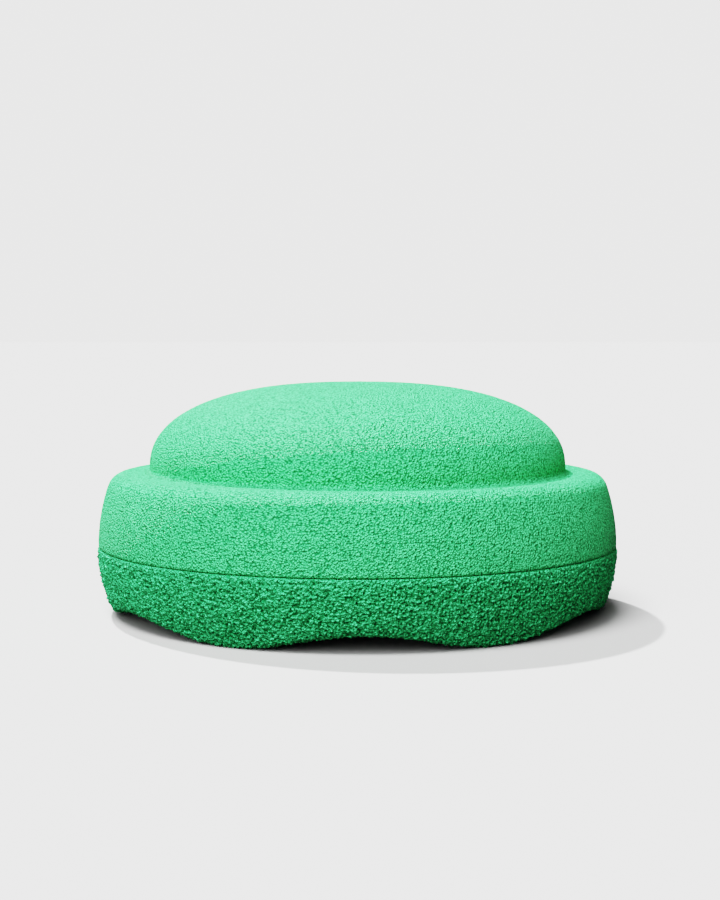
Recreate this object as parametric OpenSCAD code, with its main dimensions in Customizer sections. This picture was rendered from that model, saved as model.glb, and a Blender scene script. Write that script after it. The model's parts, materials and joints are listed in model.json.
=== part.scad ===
// Round balance pad: a domed stepping stone in moulded bead foam, with a flat shoulder round the
// dome, a barrel-sided ring, a coarse grip ring on six feet, and a bowl underneath so that pads nest.
// Origin: centre of the footprint, on the plane that the feet rest on. +Z is up, and an arch
// between two feet faces -Y. Millimetres.

/* [Overall] */
// Widest diameter of the pad, at the parting seam
pad_d = 275; // [265:1:290]
// Height from the resting plane to the top of the dome
pad_h = 121.5; // [116:0.5:130]
// Height of the parting seam between the smooth ring and the grip ring
seam_z = 36; // [33:0.5:42]

/* [Dome] */
// Radius of the dome at its foot
dome_r = 110.5; // [106:0.5:111]
// Height of the upright wall at the foot of the dome
dome_foot_h = 3; // [2:0.5:5]
// Fullness of the dome's curve sideways, where 2 is an ellipse
dome_full_r = 2.5; // [2:0.1:3]
// Fullness of the dome's curve upwards, where 2 is an ellipse
dome_full_z = 2.25; // [2:0.05:2.6]

/* [Shoulder ring] */
// Height of the flat shoulder that the next pad in a stack stands on
shoulder_z = 74; // [72:0.5:78]
// Rounding of the shoulder's outer edge
shoulder_round = 9.6; // [6:0.2:12]
// Radius of the barrel curve above the seam
barrel_upper_r = 97; // [90:1:120]

/* [Grip ring] */
// Radius of the barrel curve below the seam
barrel_lower_r = 78; // [70:1:100]
// Rounding of the lower outer edge
foot_round = 5; // [3:0.5:7]
// Number of feet, with an arch between each two
feet_n = 6; // [5:1:6]
// Height of the arches between the feet
arch_h = 8.5; // [5:0.5:11]
// Width of each arch on the resting plane
arch_w = 96; // [80:1:100]

/* [Bowl underneath] */
// Radius of the bowl's mouth, which passes over the next pad's dome
socket_r = 112; // [111.5:0.5:114]
// Height at which the bowl's upright wall ends
socket_top_z = 26; // [22:1:30]
// Thickness of the foam at the top of the dome
crown_t = 31; // [26:1:36]
// Rounding of the bowl's mouth
mouth_round = 3; // [2:0.5:4]

/* [Joints] */
// Depth of the dome's plug, which sits in a rebate below the shoulder
plug_depth = 12; // [8:1:16]
// Radius of the dome's plug, whose rim lies flush with the shoulder
plug_r = 113; // [112:0.5:115]
// Height of the grip ring's collar inside the smooth ring
collar_h = 8; // [5:1:10]
// Outer radius of the grip ring's collar
collar_r = 123; // [120:0.5:126]
// Depth of the bevel on each side of the parting seam
seam_bevel = 0.7; // [0.3:0.1:1]

/* [Hidden] */

foam_green = [0.35, 0.83, 0.58];
grip_green = [0.27, 0.72, 0.48];
pad_r = pad_d / 2;
ledge_z = shoulder_z - plug_depth;
bowl_z = pad_h - crown_t;
arch_r = (arch_w * arch_w / 4 + arch_h * arch_h) / (2 * arch_h);
// Fullness of the bowl's curve, sideways and upwards
bowl_full_r = 2.4;
bowl_full_z = 2.2;
// Steps along an edge rounding, along a barrel curve and along a dome or bowl curve
round_steps = 8;
barrel_steps = 12;
dome_steps = 36;
// Overshoot that keeps a cut clear of the face it opens
cut = 1;
// How far the cut for an arch runs past the ring's wall, inwards and outwards
arch_reach = 4;
$fn = 180;

// Points on an arc about [r, z], from angle a0 to angle a1
function arc(r, z, radius, a0, a1, steps) =
    [for (i = [0:steps]) let (a = a0 + (a1 - a0) * i / steps) [r + radius * cos(a), z + radius * sin(a)]];

// Points on a quarter of a superellipse, from its rim at height z up to the axis
function quarter(r, z, height, full_r, full_z) =
    [for (i = [0:dome_steps])
        let (a = 90 * i / dome_steps) [r * pow(cos(a), 2 / full_r), z + height * pow(sin(a), 2 / full_z)]];

// An edge rounding that is tangent to a barrel curve and to a level face: the radius at which its
// centre lies, and the angle at which the two curves meet
function round_r(barrel, rounding, rise) = pad_r - barrel + sqrt(pow(barrel - rounding, 2) - rise * rise);
function round_a(barrel, rounding, rise) = asin(rise / (barrel - rounding));

upper_rise = shoulder_z - shoulder_round - seam_z;
lower_rise = seam_z - foot_round;
upper_a = round_a(barrel_upper_r, shoulder_round, upper_rise);
lower_a = round_a(barrel_lower_r, foot_round, lower_rise);
// The bevels take the first and last degree or so of the barrel curves at the seam
upper_bevel_a = asin(seam_bevel / barrel_upper_r);
lower_bevel_a = asin(seam_bevel / barrel_lower_r);

upper_side = arc(pad_r - barrel_upper_r, seam_z, barrel_upper_r, upper_bevel_a, upper_a, barrel_steps);
upper_edge = arc(round_r(barrel_upper_r, shoulder_round, upper_rise), shoulder_z - shoulder_round,
    shoulder_round, upper_a, 90, round_steps);
lower_edge = arc(round_r(barrel_lower_r, foot_round, lower_rise), foot_round,
    foot_round, -90, -lower_a, round_steps);
lower_side = arc(pad_r - barrel_lower_r, seam_z, barrel_lower_r, -lower_a, -lower_bevel_a, barrel_steps);

// Leaves out the first point, where two curves share it
function rest(points) = [for (i = [1:len(points) - 1]) points[i]];

// The open space underneath: a rounded mouth, an upright wall and a domed ceiling
module bowl_space() {
    rotate_extrude()
        polygon(concat(
            [[0, -cut], [socket_r + mouth_round, -cut]],
            arc(socket_r + mouth_round, mouth_round, mouth_round, 270, 180, round_steps),
            quarter(socket_r, socket_top_z, bowl_z - socket_top_z, bowl_full_r, bowl_full_z)));
}

// One arch for each gap between feet, cut right through the ring's wall
module arches() {
    for (i = [0:feet_n - 1])
        rotate([0, 0, i * 360 / feet_n - 90])
            translate([socket_r - arch_reach, 0, arch_h - arch_r])
                rotate([0, 90, 0])
                    cylinder(r = arch_r, h = pad_r - socket_r + 2 * arch_reach);
}

// The dome, with the plug below it that fills the smooth ring's rebate
module dome_crown() {
    color(foam_green)
        difference() {
            rotate_extrude()
                polygon(concat(
                    [[0, ledge_z], [plug_r, ledge_z], [plug_r, shoulder_z], [dome_r, shoulder_z]],
                    quarter(dome_r, shoulder_z + dome_foot_h, pad_h - shoulder_z - dome_foot_h,
                        dome_full_r, dome_full_z)));
            bowl_space();
        }
}

// The smooth ring: flat shoulder, rounded edge and barrel side down to the seam
module shoulder_ring() {
    color(foam_green)
        difference() {
            rotate_extrude()
                polygon(concat(
                    [[0, shoulder_z], [0, seam_z], [pad_r - seam_bevel, seam_z]],
                    upper_side, rest(upper_edge)));
            bowl_space();
            translate([0, 0, ledge_z])
                cylinder(r = plug_r, h = plug_depth + cut);
            translate([0, 0, seam_z - cut])
                cylinder(r = collar_r, h = collar_h + cut);
        }
}

// The grip ring: feet and arches below, and the collar that locates the smooth ring above
module grip_ring() {
    color(grip_green)
        difference() {
            rotate_extrude()
                polygon(concat(
                    [[0, seam_z + collar_h], [0, 0]],
                    lower_edge, rest(lower_side),
                    [[pad_r - seam_bevel, seam_z], [collar_r, seam_z], [collar_r, seam_z + collar_h]]));
            bowl_space();
            arches();
        }
}

dome_crown();
shoulder_ring();
grip_ring();
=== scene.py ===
"""Balance pad: a domed stepping stone in moulded bead foam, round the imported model."""

import json
import math

import bmesh
import bpy
from mathutils import Matrix, Vector, noise


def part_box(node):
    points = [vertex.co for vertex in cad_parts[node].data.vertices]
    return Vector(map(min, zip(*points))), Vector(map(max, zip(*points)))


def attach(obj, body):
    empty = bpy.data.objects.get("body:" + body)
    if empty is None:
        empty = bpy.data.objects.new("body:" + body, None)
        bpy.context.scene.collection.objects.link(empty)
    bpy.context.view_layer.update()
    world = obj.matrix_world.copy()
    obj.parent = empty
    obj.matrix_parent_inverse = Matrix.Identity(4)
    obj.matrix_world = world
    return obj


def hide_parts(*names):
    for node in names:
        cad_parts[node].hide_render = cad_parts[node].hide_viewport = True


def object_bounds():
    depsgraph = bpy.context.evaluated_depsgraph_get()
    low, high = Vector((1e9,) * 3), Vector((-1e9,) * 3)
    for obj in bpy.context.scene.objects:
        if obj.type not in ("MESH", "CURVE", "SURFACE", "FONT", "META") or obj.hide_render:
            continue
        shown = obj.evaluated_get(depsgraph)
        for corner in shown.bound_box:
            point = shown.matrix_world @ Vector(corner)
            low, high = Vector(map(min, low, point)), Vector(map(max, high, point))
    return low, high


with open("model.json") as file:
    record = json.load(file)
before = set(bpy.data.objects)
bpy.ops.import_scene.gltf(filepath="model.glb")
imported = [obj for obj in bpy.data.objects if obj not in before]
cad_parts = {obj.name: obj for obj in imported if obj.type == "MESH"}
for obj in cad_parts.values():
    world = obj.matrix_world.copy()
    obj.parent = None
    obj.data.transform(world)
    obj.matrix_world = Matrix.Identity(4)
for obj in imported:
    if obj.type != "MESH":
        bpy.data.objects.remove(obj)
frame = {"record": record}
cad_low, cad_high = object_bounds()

MM = 0.001

# ---------------------------------------------------------------- sizes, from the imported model
dome_low, dome_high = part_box("dome_crown")
shoulder_low, shoulder_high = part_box("shoulder_ring")
grip_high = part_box("grip_ring")[1]
mount_dims = {m["name"]: m["dims"] for m in frame["record"]["mounts"]}

PAD_R = cad_high.x
TOP_Z = dome_high.z
SHOULDER_Z = shoulder_high.z
SEAM_Z = shoulder_low.z
LEDGE_Z = dome_low.z
COLLAR_Z = grip_high.z
DOME_R = mount_dims["stacking_spigot"]["r_mm"] * MM
SOCKET_R = mount_dims["stacking_socket"]["r_mm"] * MM

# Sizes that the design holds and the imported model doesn't name
DOME_FOOT = 3 * MM
DOME_FULL = (2.5, 2.25)
PLUG_R = 113 * MM
COLLAR_R = 123 * MM
SHOULDER_ROUND = 9.6 * MM
UPPER_BARREL = 97 * MM
LOWER_BARREL = 78 * MM
FOOT_ROUND = 5 * MM
MOUTH_ROUND = 3 * MM
SOCKET_TOP = 26 * MM
CROWN = 31 * MM
BOWL_FULL = (2.4, 2.2)
FEET = 6
ARCH = 8.5 * MM

# The cove at the foot of the dome, and the groove at the seam with its rounded lips
COVE = 0.5 * MM
SEAM_GAP = 0.4 * MM
SEAM_DEPTH = 1.1 * MM
LIP_ROUND = 0.8 * MM

# Relief of the finish, as (depth in millimetres, noise scale for each metre)
SMOOTH_BROAD = (0.09, 240)
SMOOTH_SMALL = (0.07, 430)
GRIP_SWELL = (0.25, 240)
GRIP_LUMPS = (0.5, 540)
GRIP_CHIPS = (1.2, 1000)
# Where the relief grows from nothing: above the seam, below it, and outwards from the bowl's wall
SEAM_FADE = 2 * MM
GRIP_FADE = (0.6 * MM, 2.4 * MM)
RIM_FADE = (4 * MM, 12 * MM)
# What stays bare beside the joint of the dome and the shoulder
JOINT_MARGIN = 0.2 * MM

# Fineness of the meshes: the gap between points of an outline, and the steps in a full turn
DOME_GAP, DOME_STEPS = 1.3 * MM, 640
SHOULDER_GAP, SHOULDER_STEPS = 0.8 * MM, 1080
GRIP_GAP, GRIP_STEPS = 0.5 * MM, 1728
RIM_GAP = 2 * GRIP_GAP
BOWL_GAP = 3 * MM
JOINT_GAP = 4 * BOWL_GAP
SECTORS = 24
# Points along a barrel curve, and along a dome or bowl curve, before the outline is spaced
BARREL_POINTS = 60
QUARTER_POINTS = 160


# ---------------------------------------------------------------- outlines, as (radius, height)
def arc(r, z, radius, start, end, count):
    """Points on an arc about (r, z), from start to end in degrees."""
    turns = [math.radians(start + (end - start) * i / count) for i in range(count + 1)]
    return [(r + radius * math.cos(t), z + radius * math.sin(t)) for t in turns]


def quarter(r, z, height, full):
    """A quarter of a superellipse, from its rim at height z up to the axis."""
    turns = [math.pi / 2 * i / QUARTER_POINTS for i in range(QUARTER_POINTS + 1)]
    return [(r * max(math.cos(t), 0) ** (2 / full[0]), z + height * math.sin(t) ** (2 / full[1]))
            for t in turns]


def spaced(points, gap):
    """Points at equal steps of about gap along a line of points, without its last point."""
    lengths = [math.dist(a, b) for a, b in zip(points, points[1:])]
    total = sum(lengths)
    count = max(1, round(total / gap))
    out = []
    walked, i = 0.0, 0
    for k in range(count):
        target = total * k / count
        while i < len(lengths) - 1 and walked + lengths[i] < target:
            walked += lengths[i]
            i += 1
        share = (target - walked) / lengths[i] if lengths[i] else 0
        a, b = points[i], points[i + 1]
        out.append((a[0] + (b[0] - a[0]) * share, a[1] + (b[1] - a[1]) * share))
    return out


def rounding(barrel, radius, rise):
    """Where an edge rounding meets its barrel curve: its centre's radius and the angle there."""
    centre = PAD_R - barrel + math.sqrt((barrel - radius) ** 2 - rise ** 2)
    return centre, math.degrees(math.asin(rise / (barrel - radius)))


def barrel_r(z):
    """Radius of the pad's side at a height."""
    barrel = UPPER_BARREL if z > SEAM_Z else LOWER_BARREL
    return PAD_R - barrel + math.sqrt(barrel ** 2 - (z - SEAM_Z) ** 2)


def bowl_curve():
    """The bowl's ceiling, from the top of its upright wall to the axis."""
    return quarter(SOCKET_R, SOCKET_TOP, TOP_Z - CROWN - SOCKET_TOP, BOWL_FULL)


def bowl_at(z):
    """The point of the bowl's curve at a height."""
    curve = bowl_curve()
    for (ra, za), (rb, zb) in zip(curve, curve[1:]):
        if za <= z <= zb:
            return ra + (rb - ra) * (z - za) / (zb - za), z
    return curve[-1] if z > curve[-1][1] else (SOCKET_R, z)


def bowl_part(low, high):
    """The stretch of the bowl's curve between two heights, upwards."""
    inside = [p for p in bowl_curve() if low < p[1] < high]
    return [bowl_at(low)] + inside + [bowl_at(high)]


def dome_outline():
    """From the dome's top down to its cove, the plug, the ledge and up the bowl's ceiling."""
    crown = quarter(DOME_R, SHOULDER_Z + DOME_FOOT, TOP_Z - SHOULDER_Z - DOME_FOOT, DOME_FULL)[::-1]
    cove = arc(DOME_R + COVE, SHOULDER_Z + COVE, COVE, 180, 270, 8)
    ceiling = bowl_part(LEDGE_Z, TOP_Z - CROWN)
    return (
        spaced(crown + cove, DOME_GAP)
        + spaced([(PLUG_R, SHOULDER_Z), (PLUG_R, LEDGE_Z)], JOINT_GAP)
        + spaced([(PLUG_R, LEDGE_Z), ceiling[0]], JOINT_GAP)
        + spaced(ceiling, BOWL_GAP)
        + [(0, TOP_Z - CROWN)]
    )


def shoulder_outline():
    """From the seam up the barrel side, over the shoulder, down the rebate and the bowl's wall."""
    bottom = SEAM_Z + SEAM_GAP / 2
    centre, meet = rounding(UPPER_BARREL, SHOULDER_ROUND, SHOULDER_Z - SHOULDER_ROUND - SEAM_Z)
    start = math.degrees(math.asin((SEAM_GAP / 2 + LIP_ROUND / 2) / UPPER_BARREL))
    side = (
        [(PAD_R - LIP_ROUND / 2, bottom)]
        + arc(PAD_R - UPPER_BARREL, SEAM_Z, UPPER_BARREL, start, meet, BARREL_POINTS)
        + arc(centre, SHOULDER_Z - SHOULDER_ROUND, SHOULDER_ROUND, meet, 90, 24)[1:]
        + [(PLUG_R, SHOULDER_Z)]
    )
    wall = bowl_part(COLLAR_Z, LEDGE_Z)[::-1]
    return (
        [(PAD_R - SEAM_DEPTH, bottom)]
        + spaced(side, SHOULDER_GAP)
        + spaced([(PLUG_R, SHOULDER_Z), (PLUG_R, LEDGE_Z)], JOINT_GAP)
        + spaced([(PLUG_R, LEDGE_Z), wall[0]], JOINT_GAP)
        + spaced(wall, BOWL_GAP)
        + spaced([wall[-1], (COLLAR_R, COLLAR_Z)], JOINT_GAP)
        + spaced([(COLLAR_R, COLLAR_Z), (COLLAR_R, bottom)], JOINT_GAP)
        + spaced([(COLLAR_R, bottom), (PAD_R - SEAM_DEPTH, bottom)], JOINT_GAP)
    )


def grip_outline():
    """From the seam's lip down the side, under the foot, up the bowl's wall and over the collar."""
    top = SEAM_Z - SEAM_GAP / 2
    centre, meet = rounding(LOWER_BARREL, FOOT_ROUND, SEAM_Z - FOOT_ROUND)
    start = math.degrees(math.asin((SEAM_GAP / 2 + LIP_ROUND) / LOWER_BARREL))
    lip = arc(PAD_R - LIP_ROUND, top - LIP_ROUND, LIP_ROUND, 90, 0, 4)
    side = (
        lip
        + arc(PAD_R - LOWER_BARREL, SEAM_Z, LOWER_BARREL, -start, -meet, BARREL_POINTS)[1:]
        + arc(centre, FOOT_ROUND, FOOT_ROUND, -meet, -90, 12)[1:]
    )
    land = [(centre, 0), (SOCKET_R + MOUTH_ROUND, 0)]
    mouth = arc(SOCKET_R + MOUTH_ROUND, MOUTH_ROUND, MOUTH_ROUND, 270, 180, 8)
    wall = [(SOCKET_R, MOUTH_ROUND), (SOCKET_R, SOCKET_TOP)] + bowl_part(SOCKET_TOP, COLLAR_Z)[1:]
    return (
        [(PAD_R - SEAM_DEPTH, top)]
        + spaced(side, GRIP_GAP)
        + spaced(land, RIM_GAP)
        + spaced(mouth, RIM_GAP)
        + spaced(wall, BOWL_GAP)
        + spaced([wall[-1], (COLLAR_R, COLLAR_Z)], JOINT_GAP)
        + spaced([(COLLAR_R, COLLAR_Z), (COLLAR_R, top)], JOINT_GAP)
        + spaced([(COLLAR_R, top), (PAD_R - SEAM_DEPTH, top)], JOINT_GAP)
    )


# ---------------------------------------------------------------- surface relief, by position
def smooth_step(x, low, high):
    """0 below low, 1 above high, and a soft rise between them."""
    t = min(max((x - low) / (high - low), 0), 1)
    return t * t * (3 - 2 * t)


def foam_swell(p):
    """The slight unevenness of a moulded bead-foam face."""
    return MM * sum(depth * noise.noise(p * scale) for depth, scale in (SMOOTH_BROAD, SMOOTH_SMALL))


def rock_relief(p):
    """The coarse stone-like grip texture, about 0 on average.

    The added vectors keep the three noises apart where their scales would line up."""
    swell = noise.noise(p * GRIP_SWELL[1])
    lumps = 2 * abs(noise.noise(p * GRIP_LUMPS[1] + Vector((7, 3, 5)))) - 0.5
    chips = noise.noise(p * GRIP_CHIPS[1] + Vector((1, 9, 4)))
    return MM * (GRIP_SWELL[0] * swell + GRIP_LUMPS[0] * lumps + GRIP_CHIPS[0] * chips)


# ---------------------------------------------------------------- making the pieces
def turned(outline, steps):
    """A body of revolution from a closed outline, or one that starts and ends on the axis.

    One sector is spun, then copied round, which is much quicker than a full spin."""
    bm = bmesh.new()
    verts = [bm.verts.new((r, 0, z)) for r, z in outline]
    pairs = list(zip(verts, verts[1:]))
    if outline[0][0] > 0:
        pairs.append((verts[-1], verts[0]))
    edges = [bm.edges.new(p) for p in pairs]
    sector = math.tau / SECTORS
    bmesh.ops.spin(bm, geom=verts + edges, cent=(0, 0, 0), axis=(0, 0, 1),
                   angle=sector, steps=steps // SECTORS)
    first = bm.faces[:]
    for i in range(1, SECTORS):
        copied = bmesh.ops.duplicate(bm, geom=first)["geom"]
        bmesh.ops.rotate(bm, verts=[g for g in copied if isinstance(g, bmesh.types.BMVert)],
                         cent=(0, 0, 0), matrix=Matrix.Rotation(i * sector, 3, "Z"))
    bmesh.ops.remove_doubles(bm, verts=bm.verts, dist=0.01 * MM)
    bmesh.ops.recalc_face_normals(bm, faces=bm.faces)
    return bm


def push_out(bm, relief):
    """Moves each vertex along its normal by relief(place), and keeps the amount as an attribute."""
    bm.normal_update()
    kept = bm.verts.layers.float.new("relief")
    moves = [(v, v.normal.copy(), relief(v.co)) for v in bm.verts]
    for v, normal, amount in moves:
        v.co += normal * amount
        v[kept] = amount / MM


def piece(name, bm, node):
    """A finished piece of firm foam: smooth-shaded, riding on the root, standing for its CAD node."""
    mesh = bpy.data.meshes.new(name)
    bm.to_mesh(mesh)
    bm.free()
    mesh.shade_smooth()
    obj = bpy.data.objects.new(name, mesh)
    bpy.context.scene.collection.objects.link(obj)
    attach(obj, "root")
    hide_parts(node)
    return obj


def wave(bm):
    """Lifts the lower edge into arches between the feet, and keeps the side on its barrel curve.

    The lift is whole up to the foot's rounding and fades out just below the seam. Inside land_r, on
    the bowl's wall and mouth, points only move up."""
    land_r = SOCKET_R + 2 * MOUTH_ROUND
    for v in bm.verts:
        r = math.hypot(v.co.x, v.co.y)
        turn = math.atan2(v.co.x, -v.co.y)
        share = 1 - smooth_step(v.co.z, FOOT_ROUND, SEAM_Z - SEAM_FADE)
        lift = ARCH * (0.5 + 0.5 * math.cos(FEET * turn)) * share
        if lift <= 0:
            continue
        if r > land_r:
            low = max(v.co.z, FOOT_ROUND)
            grown = r + (barrel_r(low + lift) - barrel_r(low)) * smooth_step(r, land_r, COLLAR_R)
            v.co.x *= grown / r
            v.co.y *= grown / r
        v.co.z += lift


def dome_relief(p):
    """Unevenness on the seen side of the dome, and none on its plug or in the bowl."""
    r = math.hypot(p.x, p.y)
    in_cove = p.z > SHOULDER_Z + JOINT_MARGIN and r > DOME_R - 2 * COVE
    return foam_swell(p) if p.z > SHOULDER_Z + COVE or in_cove else 0


def shoulder_relief(p):
    """Unevenness outside the dome's rebate, fading out at the seam's lip."""
    if math.hypot(p.x, p.y) < PLUG_R + JOINT_MARGIN:
        return 0
    return foam_swell(p) * smooth_step(p.z, SEAM_Z + SEAM_GAP, SEAM_Z + SEAM_FADE)


def grip_relief(p):
    """Grip texture from just below the seam to the rim of the bowl, and none past the resting plane."""
    if p.z > SEAM_Z:
        return 0
    below_seam = smooth_step(SEAM_Z - p.z, *GRIP_FADE)
    outer = smooth_step(math.hypot(p.x, p.y), SOCKET_R + RIM_FADE[0], SOCKET_R + RIM_FADE[1])
    return min(rock_relief(p) * below_seam * outer, p.z)


dome = turned(dome_outline(), DOME_STEPS)
push_out(dome, dome_relief)
dome_foam = piece("dome_foam", dome, "dome_crown")

shoulder = turned(shoulder_outline(), SHOULDER_STEPS)
push_out(shoulder, shoulder_relief)
shoulder_foam = piece("shoulder_foam", shoulder, "shoulder_ring")

grip = turned(grip_outline(), GRIP_STEPS)
wave(grip)
push_out(grip, grip_relief)
grip_foam = piece("grip_foam", grip, "grip_ring")


# ---------------------------------------------------------------- materials
# Colours of the raised foam and of the painted shade in the hollows of its grain, and of the painted
# shade in the grip texture's hollows
GREEN = (0.114, 0.90, 0.320)
PAINTED_GRAIN_SHADE = (0.010, 0.28, 0.080)
GRIP_GREEN = (0.120, 0.98, 0.385)
PAINTED_GRIP_GRAIN_SHADE = (0.020, 0.42, 0.125)
PAINTED_HOLLOW_SHADE = (0.008, 0.22, 0.065)
# Grain heights at which the colour is all painted shade and all raised foam
GRAIN_SHADE_HEIGHTS = (0.35, 0.62)
# Grip relief, in millimetres, at which the painted shade in the hollows is darkest and at which it ends
GRIP_SHADE_RELIEF = (-0.6, 0.05)
ROUGH = 0.65
GLOSS = 0.20


def shader_group(name, inputs, outputs):
    """An empty shader node group with float inputs (name: default) and float outputs."""
    group = bpy.data.node_groups.new(name, "ShaderNodeTree")
    for label, value in inputs.items():
        socket = group.interface.new_socket(label, in_out="INPUT", socket_type="NodeSocketFloat")
        socket.default_value = value
    for label in outputs:
        group.interface.new_socket(label, in_out="OUTPUT", socket_type="NodeSocketFloat")
    return group


def add(tree, kind, **settings):
    """A node with its properties and, by number or name, its inputs' values."""
    node = tree.nodes.new(kind)
    for key, value in settings.items():
        if key == "values":
            for socket, v in value.items():
                node.inputs[socket].default_value = v
        else:
            setattr(node, key, value)
    return node


def mould_grain():
    """Fine grain that the mould leaves: small rumpled lumps with creases, as a height about 0.5."""
    group = shader_group("mould grain", {"Scale": 1000.0, "Lumps": 0.5}, ("Height",))
    out = add(group, "NodeGroupOutput")
    given = add(group, "NodeGroupInput")
    place = add(group, "ShaderNodeTexCoord").outputs["Object"]
    rumple = add(group, "ShaderNodeTexNoise",
                 values={"Detail": 1.0, "Roughness": 0.5, "Distortion": 1.0})
    lumps = add(group, "ShaderNodeTexVoronoi", feature="F1",
                values={"Detail": 0.0, "Randomness": 1.0})
    for texture in (rumple, lumps):
        group.links.new(place, texture.inputs["Vector"])
        group.links.new(given.outputs["Scale"], texture.inputs["Scale"])
    rounded = add(group, "ShaderNodeMath", operation="SUBTRACT", values={0: 1.0})
    group.links.new(lumps.outputs["Distance"], rounded.inputs[1])
    both = add(group, "ShaderNodeMix", data_type="FLOAT")
    group.links.new(given.outputs["Lumps"], both.inputs["Factor"])
    group.links.new(rumple.outputs["Fac"], both.inputs["A"])
    group.links.new(rounded.outputs[0], both.inputs["B"])
    group.links.new(both.outputs["Result"], out.inputs["Height"])
    return group


def mixed(tree, share, low, high):
    """A colour between low and high, each a colour or a socket, by a share from 0 to 1."""
    node = add(tree, "ShaderNodeMix", data_type="RGBA")
    tree.links.new(share, node.inputs[0])
    for socket, value in ((node.inputs[6], low), (node.inputs[7], high)):
        if isinstance(value, tuple):
            socket.default_value = (*value, 1)
        else:
            tree.links.new(value, socket)
    return node.outputs[2]


def ranged(tree, value, low, high):
    """How far a value has come from low to high, kept between 0 and 1."""
    node = add(tree, "ShaderNodeMapRange", values={"From Min": low, "From Max": high})
    tree.links.new(value, node.inputs["Value"])
    return node.outputs[0]


def foam(name, colour, grain_shade, grain, scale, depth, shade_relief=None):
    """Moulded bead foam: matt, green on the grain, and a darker green painted into its hollows as shade.

    scale and depth are the grain's, and the optional last argument gives the grip relief over which
    painted shade deepens in the hollows."""
    mat = bpy.data.materials.new(name)
    mat.use_nodes = True
    tree = mat.node_tree
    bsdf = tree.nodes["Principled BSDF"]
    height = add(tree, "ShaderNodeGroup", node_tree=grain, values={"Scale": scale}).outputs["Height"]
    # Painted shade: the grain's hollows get a darker green than its raised lumps
    shaded_colour = mixed(tree, ranged(tree, height, *GRAIN_SHADE_HEIGHTS), grain_shade, colour)
    if shade_relief:
        # Painted shade: where the grip relief sinks, the colour is mixed towards a deep green
        relief = add(tree, "ShaderNodeAttribute", attribute_name="relief").outputs["Fac"]
        shaded_colour = mixed(tree, ranged(tree, relief, *shade_relief), PAINTED_HOLLOW_SHADE, shaded_colour)
    tree.links.new(shaded_colour, bsdf.inputs["Base Color"])
    bump = add(tree, "ShaderNodeBump", values={"Strength": 1.0, "Distance": depth})
    tree.links.new(height, bump.inputs["Height"])
    tree.links.new(bump.outputs["Normal"], bsdf.inputs["Normal"])
    bsdf.inputs["Roughness"].default_value = ROUGH
    bsdf.inputs["Specular IOR Level"].default_value = GLOSS
    return mat


grain = mould_grain()
smooth_finish = foam("smooth_foam_green", GREEN, PAINTED_GRAIN_SHADE, grain, scale=1000, depth=3.4 * MM)
grip_finish = foam("grip_foam_green", GRIP_GREEN, PAINTED_GRIP_GRAIN_SHADE, grain, scale=900, depth=5.5 * MM,
                   shade_relief=GRIP_SHADE_RELIEF)
dome_foam.data.materials.append(smooth_finish)
shoulder_foam.data.materials.append(smooth_finish)
grip_foam.data.materials.append(grip_finish)


# ---------------------------------------------------------------- stage, light and camera
# Grey of the floor: what the camera sees, and what the light that bounces off it meets
FLOOR_SEEN = 0.42
FLOOR_BOUNCE = 0.08
# Half the floor's width, in metres
FLOOR_HALF = 60
BACKDROP = (1, 1, 0.995, 1)


def seen_apart(tree, lit, seen, output):
    """Gives the camera one shader, seen, and the light that bounces about another, lit."""
    mix = add(tree, "ShaderNodeMixShader")
    tree.links.new(add(tree, "ShaderNodeLightPath").outputs["Is Camera Ray"], mix.inputs[0])
    tree.links.new(lit.outputs[0], mix.inputs[1])
    tree.links.new(seen.outputs[0], mix.inputs[2])
    tree.links.new(mix.outputs[0], tree.nodes[output].inputs["Surface"])


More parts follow.
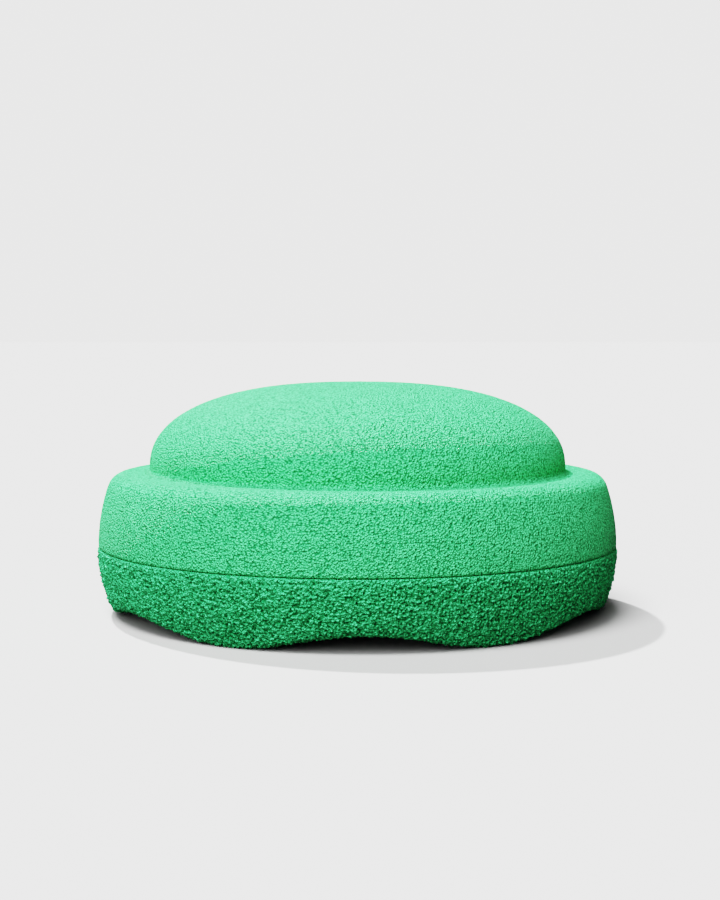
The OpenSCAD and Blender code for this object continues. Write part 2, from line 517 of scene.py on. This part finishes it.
def floor():
    """A plain pale floor that runs to the horizon."""
    bm = bmesh.new()
    bmesh.ops.create_grid(bm, x_segments=1, y_segments=1, size=FLOOR_HALF)
    mesh = bpy.data.meshes.new("floor")
    bm.to_mesh(mesh)
    bm.free()
    obj = bpy.data.objects.new("floor", mesh)
    bpy.context.scene.collection.objects.link(obj)
    mat = bpy.data.materials.new("pale_floor")
    mat.use_nodes = True
    tree = mat.node_tree
    tree.nodes.remove(tree.nodes["Principled BSDF"])
    bounce, seen = (add(tree, "ShaderNodeBsdfDiffuse", values={"Color": (grey, grey, grey, 1)})
                    for grey in (FLOOR_BOUNCE, FLOOR_SEEN))
    seen_apart(tree, bounce, seen, "Material Output")
    mesh.materials.append(mat)


def lamp(name, turn, rise, strength, spread):
    """A far light, from turn degrees round from the front and rise degrees up.

    spread is its width in degrees, and a wide one gives soft shadows."""
    data = bpy.data.lights.new(name, "SUN")
    data.energy = strength
    data.angle = math.radians(spread)
    obj = bpy.data.objects.new(name, data)
    obj.rotation_euler = (math.radians(90 - rise), 0, math.radians(turn))
    bpy.context.scene.collection.objects.link(obj)


def surroundings(glow, seen):
    """Even room light of strength glow, while the camera sees an even backdrop of strength seen."""
    world = bpy.data.worlds.new("studio")
    world.use_nodes = True
    tree = world.node_tree
    room = tree.nodes["Background"]
    room.inputs["Strength"].default_value = glow
    room.inputs["Color"].default_value = (1, 1, 1, 1)
    backdrop = add(tree, "ShaderNodeBackground", values={"Color": BACKDROP, "Strength": seen})
    seen_apart(tree, room, backdrop, "World Output")
    bpy.context.scene.world = world


def camera(distance, height, turn, pitch, focal, shift):
    """Looks at the pad's axis from the front, slightly down.

    Turn and pitch are in degrees, the focal length in millimetres, and shift is a share of the frame."""
    data = bpy.data.cameras.new("camera")
    data.sensor_width = 36
    data.lens = focal
    data.shift_x = shift
    obj = bpy.data.objects.new("camera", data)
    a = math.radians(turn)
    obj.location = (math.sin(a) * distance, -math.cos(a) * distance, height)
    obj.rotation_euler = (math.radians(90 - pitch), 0, a)
    bpy.context.scene.collection.objects.link(obj)
    bpy.context.scene.camera = obj


floor()
lamp("back_left", turn=-150, rise=56, strength=6.6, spread=2)
lamp("left", turn=-38, rise=66, strength=5.5, spread=28)
lamp("front", turn=-20, rise=30, strength=3.0, spread=50)
surroundings(glow=0.0, seen=1.51)
bpy.context.scene.view_settings.view_transform = "Filmic"
bpy.context.scene.view_settings.look = "High Contrast"
camera(distance=0.850, height=0.1446, turn=-1.5, pitch=4.01, focal=63.6, shift=0.0028)
